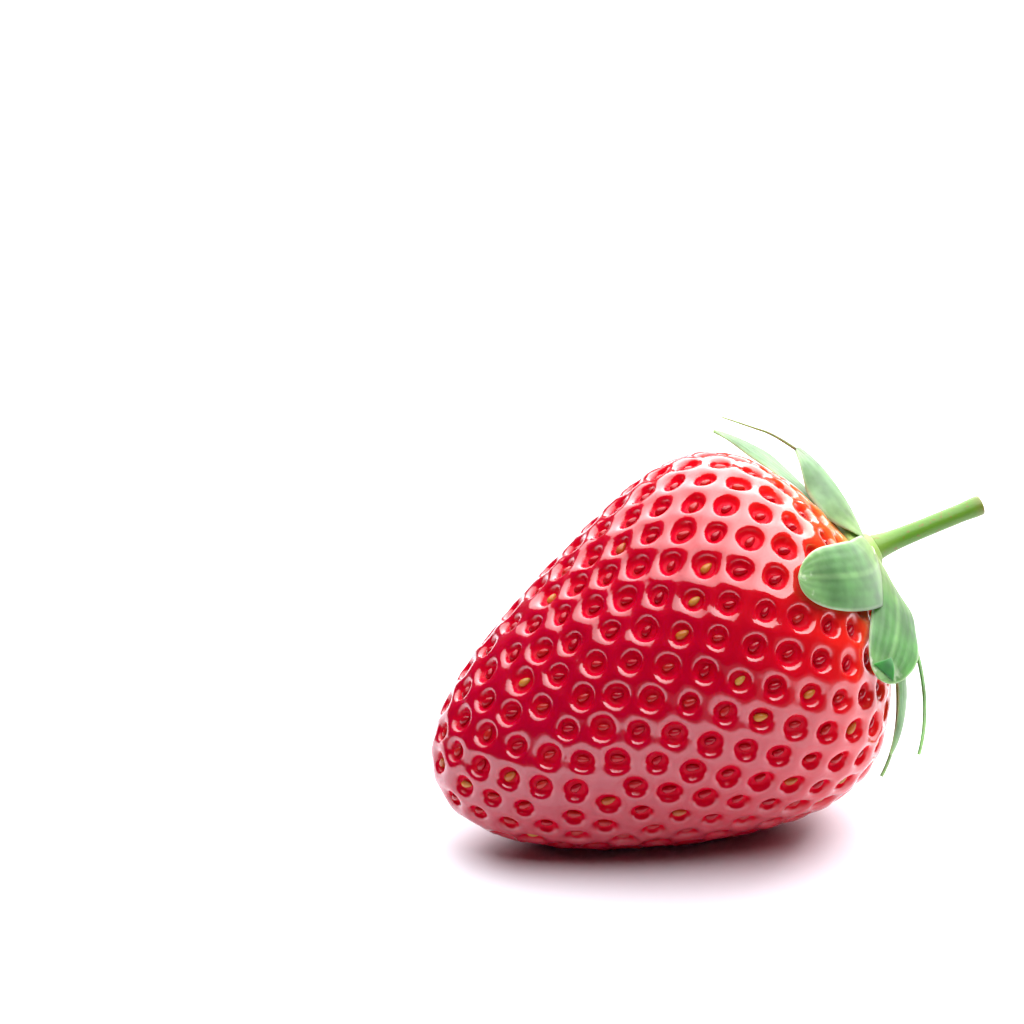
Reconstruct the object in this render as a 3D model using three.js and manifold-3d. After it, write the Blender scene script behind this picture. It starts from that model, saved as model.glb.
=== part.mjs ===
// A strawberry as picked, lying on its side. Three solids: the berry with its pits and seeds, the calyx of
// sepals and bractlets, and the cut stem. Millimetres, +Z up, resting on z = 0.
//
// The fruit's own frame has the berry's axis along X, from the tip at x = 0 to the seat of the calyx at
// x = berryLength, with +Z away from the underside. An angle round the axis starts at +Z and turns to -Y.
import * as THREE from 'three';
import { ConvexHull } from 'three/addons/math/ConvexHull.js';
import * as BufferGeometryUtils from 'three/addons/utils/BufferGeometryUtils.js';
import Module from 'manifold-3d';

const degrees = Math.PI / 180;

// Berry: its profile, how it lies, and the flesh pressed flat under it
const berryLength = 48;
const girth = 0.487; // scale of the radius, as a share of the length
const tipPower = 0.462; // lower is blunter
const shoulderPower = 7.9; // higher moves the widest place towards the calyx
const shoulderDrop = 0.82; // how the shoulder falls to the seat
const bellyBow = 1.4; // sag of the axis towards the underside
const bowPower = 1.08;
const seatRise = 0.35; // of the seat, back up from the straight axis
const seatPower = 6;
const restPitch = 24 * degrees; // the calyx end is lifted this much
const flatDepth = 0.5;

// Pits and the seeds in them
const pitSpacing = 3.5;
const tipCrowding = 0.16; // how much closer the pits are at the tip, as a share
const crowdedReach = 9; // along the surface from the tip
const pitsPerTurn = 24.5; // in the first, widest turn of the spiral
const rowGap = 2.5; // rise of the spiral in one turn
const pitRadius = 1.42;
const pitDepth = 0.75;
const pitSquash = 0.94; // of a pit's width against its length
const pitSides = 6;
const sizeVariation = 0.12;
const tiltVariation = 0.3;
const bareNeck = 5; // skin without pits round the seat, along the surface
const neckSides = 10;
const seedLength = 1.3;
const seedWidth = 0.95;
const seedRise = 0.45;
const seedSides = 4;
const growStep = 0.1;
const growColumns = 360;

// Calyx and stem
const clearance = 0.3; // gap between one solid and the next
const bladeThickness = 0.6;
const bladeSteps = 9;
const bladeStrips = 4;
const bladeRoot = 1.4; // where a blade starts, from the axis
const rootLift = 1.5; // height of a blade's middle over the skin at its root
const rootWidth = 0.5; // of a blade, as a share of its full width
const widestShare = 0.45; // of a blade's length, from the root
const leastHalfWidth = 0.35;
const tipRoundness = 0.6; // lower closes a blade's tip more roundly
const collarRadius = 4;
const collarHeight = 1.8;
const collarNeck = 1.7; // radius where the stem sits
const collarEdge = 0.3; // thickness of its rim
const collarSides = 20;
const stemLength = 11.7;
const stemDroop = 7.5 * degrees; // from the berry's axis towards the ground
const stemRadius = 0.94;
const stemFlare = 0.42; // extra radius at the calyx
const flareFade = 7; // how soon the flare is gone along the stem
const stemSwell = 0.08; // extra radius at the cut end
const swellStart = 0.8; // as shares of the stem's length
const swellEnd = 0.95;
const stemRounding = 0.75; // of the cut face's radius
const stemSides = 12;
const stemSteps = 14;

// Sepals and bractlets, round the axis. Angle; length and width of the blade; its height over the skin at
// half length and at the tip; radius of its crosswise curl, edges towards the berry; twist of the blade at
// its tip; sideways lean of the tip in degrees round the axis; how blunt the tip is.
const blades = [
  { angle: 74, length: 20, width: 7.6, lift: [1.5, 1.4], curl: 12, twist: 0, lean: -18, blunt: 6 },
  { angle: 99, length: 19.2, width: 7.6, lift: [2.1, 1.6], curl: 30, twist: 32, lean: -9, blunt: 5 },
  { angle: 129, length: 18.8, width: 2.8, lift: [1.3, 1.5], curl: 4, twist: 20, lean: 2, blunt: 3 },
  { angle: 158, length: 16.8, width: 1.3, lift: [3.5, 4.4], curl: 12, twist: 0, lean: 0, blunt: 2.5 },
  { angle: 152, length: 19.6, width: 2, lift: [1.1, 1.5], curl: 4, twist: 0, lean: 0, blunt: 3 },
  { angle: 188, length: 18, width: 7.5, lift: [1.6, 1.6], curl: 11, twist: 0, lean: 0, blunt: 3 },
  { angle: 222, length: 16, width: 2.6, lift: [1.5, 2.4], curl: 4, twist: 0, lean: -3, blunt: 3 },
  { angle: 250, length: 18.5, width: 7.5, lift: [1.6, 1.7], curl: 10, twist: 0, lean: 3, blunt: 3 },
  { angle: 283, length: 15, width: 2.4, lift: [1.7, 2.6], curl: 4, twist: 0, lean: 0, blunt: 3 },
  { angle: 314, length: 17.6, width: 6.2, lift: [1.9, 2.3], curl: 10, twist: -24, lean: 3, blunt: 2.5 },
  { angle: 332, length: 10.4, width: 8, lift: [2.4, 2.7], curl: 4.8, twist: -16, lean: 0, blunt: 3 },
];

// The berry's profile. A turn of 0 is the tip and a turn of PI the seat.
function profileAt(turn) {
  const share = Math.sin(turn / 2) ** 2;
  return {
    x: berryLength * share,
    radius: berryLength * girth * share ** tipPower * (1 - share ** shoulderPower) ** shoulderDrop,
    sag: bellyBow * Math.sin(Math.PI * share ** bowPower) - seatRise * share ** seatPower,
  };
}

// Steps along the profile, with the length walked from the tip and the latitude on a unit sphere that
// keeps small circles round.
function walkProfile(steps) {
  const walk = [{ turn: 0, ...profileAt(0), arc: 0, spread: -Infinity }];
  for (let step = 1; step <= steps; step += 1) {
    const turn = (Math.PI * step) / steps;
    const here = profileAt(turn);
    const last = walk[step - 1];
    const length = Math.hypot(here.x - last.x, here.radius - last.radius);
    const spread = step === 1 ? 0 : last.spread + (2 * length) / (here.radius + last.radius);
    walk.push({ turn, ...here, arc: last.arc + length, spread });
  }
  const widest = walk.reduce((best, entry) => (entry.radius > best.radius ? entry : best));
  for (const entry of walk) {
    entry.latitude = 2 * Math.atan(Math.exp(entry.spread - widest.spread));
  }
  walk[steps].latitude = Math.PI;
  return { walk, widest };
}

const { walk, widest } = walkProfile(1200);
const wholeArc = walk[walk.length - 1].arc;

// The turn at which the walk's arc or latitude reaches a value
function turnAt(key, value) {
  let low = 0;
  let high = walk.length - 1;
  while (high - low > 1) {
    const middle = (low + high) >> 1;
    if (walk[middle][key] < value) low = middle;
    else high = middle;
  }
  const share = (value - walk[low][key]) / (walk[high][key] - walk[low][key]);
  return walk[low].turn + THREE.MathUtils.clamp(share, 0, 1) * (walk[high].turn - walk[low].turn);
}

function latitudeOf(turn) {
  const place = (turn / Math.PI) * (walk.length - 1);
  const low = Math.min(Math.floor(place), walk.length - 2);
  return walk[low].latitude + (place - low) * (walk[low + 1].latitude - walk[low].latitude);
}

function skinPoint(turn, angle) {
  const { x, radius, sag } = profileAt(turn);
  return new THREE.Vector3(x, -radius * Math.sin(angle), radius * Math.cos(angle) - sag);
}

function skinNormal(turn, angle) {
  const margin = 0.004;
  const middle = THREE.MathUtils.clamp(turn, 2 * margin, Math.PI - 2 * margin);
  const before = profileAt(middle - margin);
  const after = profileAt(middle + margin);
  const forward = after.x - before.x;
  const outward = after.radius - before.radius;
  const sagging = after.sag - before.sag;
  return new THREE.Vector3(
    sagging * Math.cos(angle) - outward,
    -forward * Math.sin(angle),
    forward * Math.cos(angle),
  ).normalize();
}

// Height over the ground of a point in the fruit's frame, before the fruit is set down
function groundHeight(point) {
  return point.x * Math.sin(restPitch) + point.z * Math.cos(restPitch);
}

const lowest = Math.min(...walk.map((entry) => groundHeight(skinPoint(entry.turn, Math.PI))));
const flatLevel = lowest + flatDepth;

function pressedFlat(point) {
  const sunk = flatLevel - groundHeight(point);
  const upright = new THREE.Vector3(Math.sin(restPitch), 0, Math.cos(restPitch));
  return point.addScaledVector(upright, Math.max(sunk, 0));
}

// Seeded draws from -1 to 1
function makeDraws(seed) {
  let state = seed;
  return () => {
    state = (state * 1664525 + 1013904223) % 4294967296;
    return state / 2147483648 - 1;
  };
}

// How much closer, and smaller, the pits are at a distance from the tip
function crowdingAt(arc) {
  return 1 - tipCrowding * Math.exp(-arc / crowdedReach);
}

// Places the pits as they grow: the first turn of a spiral lies round the widest place, and towards each
// end every new pit takes the nearest gap that is a full spacing from all the others.
function growPits() {
  const pits = [];
  const addPit = (arc, angle) => pits.push({ arc, angle, point: skinPoint(turnAt('arc', arc), angle) });
  for (let index = 0; index < pitsPerTurn; index += 1) {
    addPit(widest.arc + (rowGap * index) / pitsPerTurn, (2 * Math.PI * index) / pitsPerTurn);
  }
  for (const side of [-1, 1]) {
    const start = widest.arc + (side < 0 ? rowGap : 0);
    const end = side < 0 ? growStep : wholeArc - bareNeck;
    const reached = new Array(growColumns).fill(0);
    const arcOf = (steps) => Math.max(start + side * steps * growStep, 0);
    const angleOf = (column) => (2 * Math.PI * column) / growColumns;
    const crowded = (column) => {
      const arc = arcOf(reached[column]);
      const here = skinPoint(turnAt('arc', arc), angleOf(column));
      return arc > 0 && pits.some((pit) => pit.point.distanceTo(here) < pitSpacing * crowdingAt(arc));
    };
    const clear = (column) => {
      while (crowded(column)) reached[column] += 1;
    };
    reached.forEach((_, column) => clear(column));
    for (;;) {
      const next = reached.indexOf(Math.min(...reached));
      const arc = arcOf(reached[next]);
      if ((arc - end) * side > 0) break;
      addPit(arc, angleOf(next));
      reached.forEach((_, column) => clear(column));
    }
  }
  return pits;
}

function berryGeometry() {
  const directions = [];
  const positions = [];
  const addVertex = (direction, height) => {
    const turn = turnAt('latitude', Math.acos(THREE.MathUtils.clamp(-direction.x, -1, 1)));
    const angle = Math.atan2(-direction.y, direction.z);
    directions.push(direction);
    positions.push(pressedFlat(skinPoint(turn, angle).addScaledVector(skinNormal(turn, angle), height)));
  };
  const directionOf = (latitude, angle) => new THREE.Vector3(
    -Math.cos(latitude),
    -Math.sin(latitude) * Math.sin(angle),
    Math.sin(latitude) * Math.cos(angle),
  );

  const draw = makeDraws(7);
  for (const pit of growPits()) {
    const turn = turnAt('arc', pit.arc);
    const { radius } = profileAt(turn);
    const latitude = latitudeOf(turn);
    const centre = directionOf(latitude, pit.angle);
    const along = directionOf(latitude + Math.PI / 2, pit.angle);
    const across = new THREE.Vector3().crossVectors(centre, along);
    const scale = Math.sin(latitude) / radius;
    const size = (1 + sizeVariation * draw()) * crowdingAt(pit.arc);
    const tilt = tiltVariation * draw();
    const addRing = (sides, length, width, height) => {
      for (let side = 0; side < sides; side += 1) {
        const round = (2 * Math.PI * side) / sides + tilt;
        const direction = centre.clone()
          .addScaledVector(along, length * Math.cos(round) * scale)
          .addScaledVector(across, width * Math.sin(round) * scale);
        addVertex(direction.normalize(), height);
      }
    };
    addRing(pitSides, pitRadius * size, pitRadius * size * pitSquash, 0);
    addRing(seedSides, seedLength / 2, seedWidth / 2, -pitDepth * size);
    addVertex(centre, seedRise - pitDepth * size);
  }
  addVertex(new THREE.Vector3(1, 0, 0), 0);
  const neckLatitude = latitudeOf(turnAt('arc', wholeArc - bareNeck / 2));
  for (let side = 0; side < neckSides; side += 1) {
    addVertex(directionOf(neckLatitude, (2 * Math.PI * side) / neckSides), 0);
  }

  const numbers = new Map(directions.map((direction, index) => [direction, index]));
  const faces = new ConvexHull().setFromPoints(directions).faces;
  const corners = ({ edge }) => [edge.prev, edge, edge.next].map(({ vertex }) => numbers.get(vertex.point));
  const index = faces.flatMap(corners);
  return geometryOf(positions, index);
}

function geometryOf(points, index) {
  const geometry = new THREE.BufferGeometry().setFromPoints(points);
  geometry.setIndex(index);
  return geometry;
}

// A blade of the calyx: its middle line follows the berry's meridian at a height, and each cross-section
// is an arc. Both faces are split into triangles alike.
function bladeGeometry({ angle, length, width, lift, curl, twist, lean, blunt }) {
  const top = [];
  const bottom = [];
  const middlePoint = (share) => {
    const turn = turnAt('arc', wholeArc - bladeRoot - share * length);
    const round = (angle + lean * share * share) * degrees;
    const height = rootLift * (1 - share) * (1 - 2 * share) + lift[0] * 4 * share * (1 - share)
      + lift[1] * share * (2 * share - 1);
    return skinPoint(turn, round).addScaledVector(skinNormal(turn, round), height);
  };
  for (let step = 0; step <= bladeSteps; step += 1) {
    const share = step / bladeSteps;
    const point = middlePoint(share);
    const forward = middlePoint(share + 0.01).sub(middlePoint(share - 0.01)).normalize();
    const radial = new THREE.Vector3(0, -Math.cos(angle * degrees), -Math.sin(angle * degrees));
    const across = radial.addScaledVector(forward, -radial.dot(forward)).normalize();
    across.applyAxisAngle(forward, twist * degrees * Math.sin((share * Math.PI) / 2));
    const out = new THREE.Vector3().crossVectors(forward, across);
    const opening = Math.sin((Math.min(1, share / widestShare) * Math.PI) / 2);
    const closing = (1 - share ** blunt) ** tipRoundness;
    const half = Math.max(leastHalfWidth, (width / 2) * (rootWidth + (1 - rootWidth) * opening) * closing);
    for (let strip = 0; strip <= bladeStrips; strip += 1) {
      const bend = ((2 * strip) / bladeStrips - 1) * (half / curl);
      const normal = out.clone().multiplyScalar(Math.cos(bend)).addScaledVector(across, Math.sin(bend));
      const middle = point.clone().addScaledVector(normal, curl).addScaledVector(out, -curl);
      top.push(middle.clone().addScaledVector(normal, bladeThickness / 2));
      bottom.push(middle.clone().addScaledVector(normal, -bladeThickness / 2));
    }
  }
  return slabGeometry(top, bottom, bladeSteps, bladeStrips);
}

// Closes two matching grids of points into one thin body
function slabGeometry(top, bottom, rows, columns) {
  const width = columns + 1;
  const index = [];
  const quad = (a, b, c, d) => index.push(a, b, c, a, c, d);
  for (let row = 0; row < rows; row += 1) {
    for (let column = 0; column < columns; column += 1) {
      const corner = row * width + column;
      const under = corner + top.length;
      index.push(corner, corner + width + 1, corner + 1, corner, corner + width, corner + width + 1);
      quad(under, under + 1, under + width + 1, under + width);
    }
  }
  const edge = [];
  for (let column = 0; column < columns; column += 1) edge.push(column);
  for (let row = 0; row < rows; row += 1) edge.push(row * width + columns);
  for (let column = columns; column > 0; column -= 1) edge.push(rows * width + column);
  for (let row = rows; row > 0; row -= 1) edge.push(row * width);
  edge.forEach((from, place) => {
    const to = edge[(place + 1) % edge.length];
    quad(from, to, to + top.length, from + top.length);
  });
  return geometryOf([...top, ...bottom], index);
}

// The collar that the blades grow from, turned round the axis
function collarGeometry() {
  const skinX = (radius) => {
    const from = walk.findLast((entry) => entry.radius >= radius);
    return from ? from.x : berryLength;
  };
  const profile = [
    [0, berryLength + clearance],
    [collarRadius / 2, skinX(collarRadius / 2) + clearance],
    [collarRadius, skinX(collarRadius) + clearance],
    [collarRadius + collarEdge / 2, skinX(collarRadius) + clearance + collarEdge],
    [(collarRadius + collarNeck) / 2, berryLength + collarHeight / 2],
    [collarNeck, berryLength + collarHeight],
    [0, berryLength + collarHeight],
  ].map(([radius, x]) => new THREE.Vector2(radius, x));
  return new THREE.LatheGeometry(profile, collarSides).rotateZ(-Math.PI / 2).translate(0, 0, seatRise);
}

// Manifold bodies for the joins
const wasm = await Module();
wasm.setup();

function toManifold(geometry) {
  const bare = geometry.clone();
  bare.deleteAttribute('normal');
  bare.deleteAttribute('uv');
  const merged = BufferGeometryUtils.mergeVertices(bare, 1e-4);
  return new wasm.Manifold(new wasm.Mesh({
    numProp: 3,
    vertProperties: Float32Array.from(merged.attributes.position.array),
    triVerts: Uint32Array.from(merged.index.array),
  }));
}

function toGeometry(manifold) {
  const { vertProperties, triVerts } = manifold.getMesh();
  const geometry = new THREE.BufferGeometry();
  geometry.setAttribute('position', new THREE.BufferAttribute(vertProperties, 3));
  geometry.setIndex(new THREE.BufferAttribute(triVerts, 1));
  return geometry;
}

function calyxGeometry() {
  const parts = blades.map((blade) => toManifold(bladeGeometry(blade)));
  return toGeometry(parts.reduce((whole, part) => whole.add(part), toManifold(collarGeometry())));
}

// The stem: rings round a line that droops from the berry's axis, with a flare, a slight swell and a
// rounded cut end
function stemGeometry() {
  const start = berryLength + collarHeight + clearance;
  const forward = new THREE.Vector3(Math.cos(stemDroop), 0, -Math.sin(stemDroop));
  const upward = new THREE.Vector3(Math.sin(stemDroop), 0, Math.cos(stemDroop));
  const sideways = new THREE.Vector3(0, 1, 0);
  const points = [];
  const index = [];
  for (let step = 0; step <= stemSteps; step += 1) {
    const share = step / stemSteps;
    const flare = stemFlare * Math.exp(-share * flareFade);
    const swell = stemSwell * THREE.MathUtils.smoothstep(share, swellStart, swellEnd);
    const radius = (stemRadius + flare + swell) * (share === 1 ? stemRounding : 1);
    const middle = new THREE.Vector3(start, 0, seatRise).addScaledVector(forward, share * stemLength);
    for (let side = 0; side < stemSides; side += 1) {
      const round = (2 * Math.PI * side) / stemSides;
      points.push(middle.clone()
        .addScaledVector(upward, radius * Math.cos(round))
        .addScaledVector(sideways, -radius * Math.sin(round)));
    }
  }
  for (let step = 0; step < stemSteps; step += 1) {
    for (let side = 0; side < stemSides; side += 1) {
      const here = step * stemSides + side;
      const beside = step * stemSides + ((side + 1) % stemSides);
      index.push(here, beside, beside + stemSides, here, beside + stemSides, here + stemSides);
    }
  }
  const last = stemSteps * stemSides;
  for (let side = 1; side < stemSides - 1; side += 1) {
    index.push(0, side + 1, side, last, last + side, last + side + 1);
  }
  return geometryOf(points, index);
}

function piece(name, geometry, color, roughness) {
  const mesh = new THREE.Mesh(geometry, new THREE.MeshStandardMaterial({ color, roughness, metalness: 0 }));
  mesh.name = name;
  return mesh;
}

const fruit = new THREE.Group();
fruit.add(
  piece('berry', berryGeometry(), '#c5101f', 0.25),
  piece('calyx', calyxGeometry(), '#6f9f52', 0.6),
  piece('stem', stemGeometry(), '#86b040', 0.5),
);
fruit.rotation.y = -restPitch;

// The origin is the middle of the bottom of the box round the whole fruit.
const group = new THREE.Group();
group.add(fruit);
group.updateMatrixWorld(true);
const box = new THREE.Box3().setFromObject(group, true);
fruit.position.set(-(box.min.x + box.max.x) / 2, -(box.min.y + box.max.y) / 2, -box.min.z);

export default group;
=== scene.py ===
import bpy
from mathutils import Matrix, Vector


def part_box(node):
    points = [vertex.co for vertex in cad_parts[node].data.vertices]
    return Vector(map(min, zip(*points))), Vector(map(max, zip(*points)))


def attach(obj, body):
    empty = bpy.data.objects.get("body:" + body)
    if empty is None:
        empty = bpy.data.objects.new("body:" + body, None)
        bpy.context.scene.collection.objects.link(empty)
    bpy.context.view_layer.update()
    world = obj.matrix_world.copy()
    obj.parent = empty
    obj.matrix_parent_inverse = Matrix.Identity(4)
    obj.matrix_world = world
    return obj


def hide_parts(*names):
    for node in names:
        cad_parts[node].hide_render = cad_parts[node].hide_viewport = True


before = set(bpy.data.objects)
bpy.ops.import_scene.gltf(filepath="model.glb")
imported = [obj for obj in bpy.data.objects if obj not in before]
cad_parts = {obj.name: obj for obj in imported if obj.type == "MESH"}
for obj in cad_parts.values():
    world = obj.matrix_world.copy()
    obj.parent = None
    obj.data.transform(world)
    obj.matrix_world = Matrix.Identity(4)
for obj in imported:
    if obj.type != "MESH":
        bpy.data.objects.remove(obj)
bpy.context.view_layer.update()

# A ripe strawberry lying on its side. The fruit's own frame is in millimetres: X runs along the berry's
# axis from the tip to the seat of the calyx, +Z points away from the underside, and an angle round the
# axis starts at +Z and turns to -Y.
import math

import bpy
import numpy as np
from mathutils import Vector
from mathutils.geometry import delaunay_2d_cdt

scene = bpy.context.scene


def linear(hexColour):
    parts = [int(hexColour[place:place + 2], 16) / 255 for place in (1, 3, 5)]
    return [part / 12.92 if part < 0.04045 else ((part + 0.055) / 1.055) ** 2.4 for part in parts] + [1.0]


def addNode(tree, kind, settings=None, inputs=None):
    node = tree.nodes.new(kind)
    for name, value in (settings or {}).items():
        setattr(node, name, value)
    for socket, value in (inputs or {}).items():
        if isinstance(value, bpy.types.NodeSocket):
            tree.links.new(value, node.inputs[socket])
        else:
            node.inputs[socket].default_value = value
    return node


def fillRamp(node, stops):
    elements = node.color_ramp.elements
    elements[0].position, elements[1].position = stops[0][0], stops[-1][0]
    for place, _ in stops[1:-1]:
        elements.new(place)
    for element, (_, colour) in zip(elements, stops):
        element.color = linear(colour)
    return node.outputs["Color"]


def newMaterial(name):
    material = bpy.data.materials.new(name)
    material.use_nodes = True
    material.node_tree.nodes.clear()
    return material, material.node_tree


def perMetre(millimetres):
    return 1000 / millimetres  # texture scale for a pattern of this size


# Camera

camera = {
    "azimuth": -19.5, "elevation": 22,  # degrees
    "distance": 520, "lens": 182.8, "sensor": 36,  # mm
    "nearest": 0.01, "farthest": 20,  # m
    "target": (-2.75, 0.38, 17.06),  # mm, on the berry's axis
    "aimRight": -17.49, "aimUp": 15.32,  # mm from the target, to frame the berry low and to the right
}


def addCamera():
    azimuth, elevation = math.radians(camera["azimuth"]), math.radians(camera["elevation"])
    back = Vector((
        math.sin(azimuth) * math.cos(elevation),
        -math.cos(azimuth) * math.cos(elevation),
        math.sin(elevation),
    ))
    right = Vector((math.cos(azimuth), math.sin(azimuth), 0))
    target = Vector(camera["target"])
    place = target + back * camera["distance"]
    aim = target + right * camera["aimRight"] + back.cross(right) * camera["aimUp"]
    data = bpy.data.cameras.new("camera")
    data.lens = camera["lens"]
    data.sensor_width = camera["sensor"]
    data.clip_start, data.clip_end = camera["nearest"], camera["farthest"]
    viewer = bpy.data.objects.new("camera", data)
    viewer.location = place / 1000
    viewer.rotation_mode = "QUATERNION"
    viewer.rotation_quaternion = (aim - place).to_track_quat("-Z", "Y")
    scene.collection.objects.link(viewer)
    scene.camera = viewer


addCamera()
print("camera placed")

# The berry's shape, as it lies

berry = {
    "length": 48, "girth": 0.487,  # mm, and the radius as a share of the length
    "tipPower": 0.462, "shoulderPower": 7.9, "shoulderDrop": 0.82,
    "bellyBow": 1.4, "bowPower": 1.08,  # sag of the axis, mm
    "seatRise": 0.35, "seatPower": 6,  # mm
    "pitch": 24,  # degrees
    "flatDepth": 0.5,  # mm
}
profileSteps = 1200


def unit(vectors):
    return vectors / np.linalg.norm(vectors, axis=-1, keepdims=True)


# Place along the axis, radius and sag of the axis. A turn of 0 is the tip and a turn of pi the seat.
def profileAt(turn):
    share = np.sin(turn / 2) ** 2
    shoulder = np.clip(1 - share ** berry["shoulderPower"], 0, 1) ** berry["shoulderDrop"]
    radius = berry["length"] * berry["girth"] * share ** berry["tipPower"] * shoulder
    bow = berry["bellyBow"] * np.sin(np.pi * share ** berry["bowPower"])
    return berry["length"] * share, radius, bow - berry["seatRise"] * share ** berry["seatPower"]


def skinPoint(turn, angle):
    x, radius, sag = profileAt(turn)
    return np.stack([x + 0 * angle, -radius * np.sin(angle), radius * np.cos(angle) - sag], -1)


def skinNormal(turn, angle):
    margin = 0.004
    middle = np.clip(turn, 2 * margin, np.pi - 2 * margin)
    forward, outward, sagging = (
        after - before for after, before in zip(profileAt(middle + margin), profileAt(middle - margin))
    )
    return unit(np.stack([
        sagging * np.cos(angle) - outward,
        -forward * np.sin(angle),
        forward * np.cos(angle),
    ], -1))


# Length walked along the profile, and the latitude on a unit sphere that keeps small circles round
def walkProfile():
    turn = np.pi * np.arange(profileSteps + 1) / profileSteps
    x, radius, _ = profileAt(turn)
    length = np.hypot(np.diff(x), np.diff(radius))
    gain = 2 * length / (radius[1:] + radius[:-1])
    gain[0] = 0
    spread = np.concatenate([[-np.inf], np.cumsum(gain)])
    widest = int(np.argmax(radius))
    latitude = 2 * np.arctan(np.exp(spread - spread[widest]))
    latitude[-1] = np.pi
    return {
        "turn": turn, "x": x, "radius": radius, "latitude": latitude,
        "arc": np.concatenate([[0], np.cumsum(length)]), "widest": widest,
    }


walk = walkProfile()
wholeArc = walk["arc"][-1]


def turnAtArc(arc):
    return np.interp(arc, walk["arc"], walk["turn"])


pitch = math.radians(berry["pitch"])
underside = skinPoint(walk["turn"], np.full(profileSteps + 1, np.pi))
undersideHeight = underside[:, 0] * math.sin(pitch) + underside[:, 2] * math.cos(pitch)
flatLevel = float(undersideHeight.min()) + berry["flatDepth"]
restShift = [0.0, 0.0]  # mm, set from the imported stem


# From the fruit's frame in mm to the scene in metres; what would sink into the ground is pressed flat
def laid(points):
    return np.stack([
        points[:, 0] * math.cos(pitch) - points[:, 2] * math.sin(pitch) + restShift[0],
        points[:, 1] + restShift[1],
        np.maximum(points[:, 0] * math.sin(pitch) + points[:, 2] * math.cos(pitch) - flatLevel, 0),
    ], -1) / 1000


def buildMesh(name, points, faces, material, values, node=None):
    mesh = bpy.data.meshes.new(name)
    mesh.from_pydata(laid(points).tolist(), [], faces)
    for key, numbers in values.items():
        attribute = mesh.attributes.new(key, "FLOAT", "POINT")
        attribute.data.foreach_set("value", np.asarray(numbers, np.float32))
    mesh.shade_smooth()
    mesh.materials.append(material)
    piece = bpy.data.objects.new(name, mesh)
    scene.collection.objects.link(piece)
    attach(piece, "root")
    if node:
        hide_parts(node)
    triangles = sum(len(face.vertices) - 2 for face in mesh.polygons)
    print(name, len(mesh.vertices), "points", triangles, "triangles")


# The stem comes first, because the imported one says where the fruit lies.

stem = {
    "length": 11.7, "radius": 0.94, "flare": 0.42, "swell": 0.08,  # mm
    "flareFade": 7, "swellStart": 0.8, "swellEnd": 0.95,  # along the stem, whose length is 1
    "droop": 7.5,  # degrees
    "gap": 0.3, "collarHeight": 1.8, "sunk": 0.8,  # mm
    "packedSides": 12, "packedSteps": 14, "packedRounding": 0.75,
    "sides": 36, "rings": 60,
    # The cut end: the last whole ring, then rings that round it off, then the middle of the cut
    "cutStart": 0.985, "cutShares": (0.993, 0.998, 1.0), "cutRounding": (0.97, 0.9, 0.78), "cutMiddle": 0.992,
}


def smoothStep(value, low, high):
    share = np.clip((value - low) / (high - low), 0, 1)
    return share * share * (3 - 2 * share)


def stemRadiusAt(share):
    flare = stem["flare"] * np.exp(-stem["flareFade"] * share)
    return stem["radius"] + flare + stem["swell"] * smoothStep(share, stem["swellStart"], stem["swellEnd"])


def stemRings(shares, radii, sides):
    droop = math.radians(stem["droop"])
    start = berry["length"] + stem["collarHeight"] + stem["gap"]
    rounds = 2 * np.pi * np.arange(sides) / sides
    along = (shares * stem["length"])[:, None]
    rise = radii[:, None] * np.cos(rounds)
    return np.stack([
        start + along * math.cos(droop) + rise * math.sin(droop),
        -radii[:, None] * np.sin(rounds),
        berry["seatRise"] - along * math.sin(droop) + rise * math.cos(droop),
    ], -1).reshape(-1, 3)


def packedStem():
    shares = np.arange(stem["packedSteps"] + 1) / stem["packedSteps"]
    radii = stemRadiusAt(shares)
    radii[-1] *= stem["packedRounding"]
    return stemRings(shares, radii, stem["packedSides"])


lowCorner = laid(packedStem()).min(0)
restShift = [1000 * (corner - low) for corner, low in zip(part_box("stem")[0][:2], lowCorner[:2])]
print("fruit lies at", [round(value, 3) for value in restShift])

# Pits

pits = {
    "spacing": 3.5, "rowGap": 2.5, "bareNeck": 5, "growStep": 0.1,  # mm
    "perTurn": 24.5, "growColumns": 360, "seed": 7,
    "tipCrowding": 0.16, "crowdedReach": 9,  # share by which they close up at the tip, fading over these mm
    "sizeVariation": 0.12, "tiltVariation": 0.3,  # share and radians, either way
    "depth": 0.75, "lip": 1.69, "lipRound": 0.62, "floorRound": 0.12,  # mm
    "wallSlope": 66,  # degrees
    # Reach in mm and number of points of the rings of skin round a pit
    "rings": (
        (0.55, 8), (0.82, 14), (0.94, 18), (1.04, 18), (1.14, 18),
        (1.24, 18), (1.35, 18), (1.48, 18), (1.64, 18),
    ),
    "ringPasses": 4,
    "puff": 0.12, "puffStart": 1.52, "puffReach": 0.35,  # mm, how the skin swells between pits
    # Slow unevenness of the skin, and how far the pits stray from true circles: mm, and radians per mm
    "lump": 0.035, "lumpWaves": ((2.3, 1.1, 0.7), (-0.9, 2.1, 1.3), (0.6, -1.4, 2.2)),
    "warp": 0.05, "warpWaves": (1.7, 1.9, 2.3), "warpCross": 1.3,
    # Points of skin between the pits: gap, end and whole end in mm, rows as a share of the gap
    "fillerGap": 0.42, "fillerRow": 0.87, "fillerLeast": 6,
    "fillerClear": 0.25, "fillerEnd": 0.9, "wholeEnd": 1.2,
}
batch = 4000  # points handled at once, to spare memory


# Seeded draws from -1 to 1
def makeDraws(seed):
    state = seed
    while True:
        state = (state * 1664525 + 1013904223) % 2 ** 32
        yield state / 2 ** 31 - 1


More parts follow.
